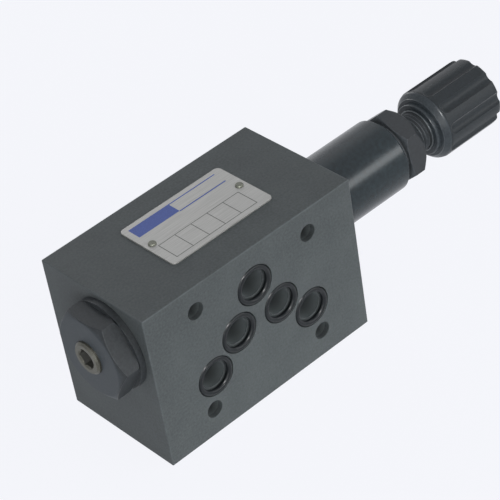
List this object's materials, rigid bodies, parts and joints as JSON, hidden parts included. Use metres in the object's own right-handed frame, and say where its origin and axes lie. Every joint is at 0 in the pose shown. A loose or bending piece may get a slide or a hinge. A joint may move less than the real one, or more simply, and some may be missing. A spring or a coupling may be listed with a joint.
{
  "type": "hydraulic sandwich valve",
  "caption": "Rectangular stackable hydraulic pressure reducing valve block with face-sealed ports, hexagon gauge plug, spring sleeve and fluted adjusting knob.",
  "frame": {"origin": "centre of the mounting bolt pattern on the face that carries the port seals", "axes": "+X along the valve axis towards the knob, +Y from the seal face to the upper face, +Z towards the nameplate"},
  "size_m": [0.198, 0.0553, 0.0688],
  "materials": {
    "body": "milled block with a dark phosphate coat",
    "end_plug": "turned, dark phosphate coat",
    "gauge_plug": "zinc plated, yellow passivated",
    "spring_sleeve": "turned, polished black oxide",
    "lock_nut": "black oxide",
    "knob": "satin moulded black plastic",
    "knob_set_screw": "black oxide",
    "adjusting_screw": "cut thread, dark",
    "adjusting_piston": "ground",
    "adjusting_spring": "drawn wire",
    "spring_seat": "turned",
    "control_spool": "ground and hardened",
    "nameplate": "printed anodised sheet",
    "nameplate_rivets": "plain",
    "seals": "satin nitrile rubber"
  },
  "bodies": {
    "housing": {"body": "body", "end_plug": "end_plug", "end_plug_seal": "seals", "gauge_plug": "gauge_plug", "spring_sleeve": "spring_sleeve", "sleeve_seal": "seals", "adjusting_spring": "adjusting_spring", "p_port_seal": "seals", "a_port_seal": "seals", "b_port_seal": "seals", "t_port_seal_left": "seals", "t_port_seal_right": "seals", "nameplate": "nameplate", "nameplate_rivets": "nameplate_rivets"},
    "adjuster": {"adjusting_piston": "adjusting_piston", "piston_seal": "seals"},
    "handwheel": {"knob": "knob", "adjusting_screw": "adjusting_screw", "knob_set_screw": "knob_set_screw"},
    "nut": {"lock_nut": "lock_nut"},
    "spool": {"control_spool": "control_spool", "spring_seat": "spring_seat"}
  },
  "joints": [
    {"name": "adjuster_feed", "type": "slide", "parent": "housing", "child": "adjuster", "axis": [-1, 0, 0], "range_m": [0, 0.0075], "deforming": ["adjusting_spring"]},
    {"name": "knob_turn", "type": "hinge", "parent": "adjuster", "child": "handwheel", "pos_m": [0.12, 0.021, 0.0135], "axis": [-1, 0, 0], "range_deg": [0, 1800]},
    {"name": "nut_turn", "type": "hinge", "parent": "housing", "child": "nut", "pos_m": [0.09, 0.021, 0.0135], "axis": [1, 0, 0], "range_deg": [0, 90]},
    {"name": "spool_shift", "type": "slide", "parent": "housing", "child": "spool", "axis": [1, 0, 0], "range_m": [0, 0.003], "stiffness_N_per_m": 41000, "deforming": ["adjusting_spring"]}
  ],
  "couplings": [
    {"joint": "knob_turn", "follows": "adjuster_feed", "rad_per_m": 4188.4}
  ]
}
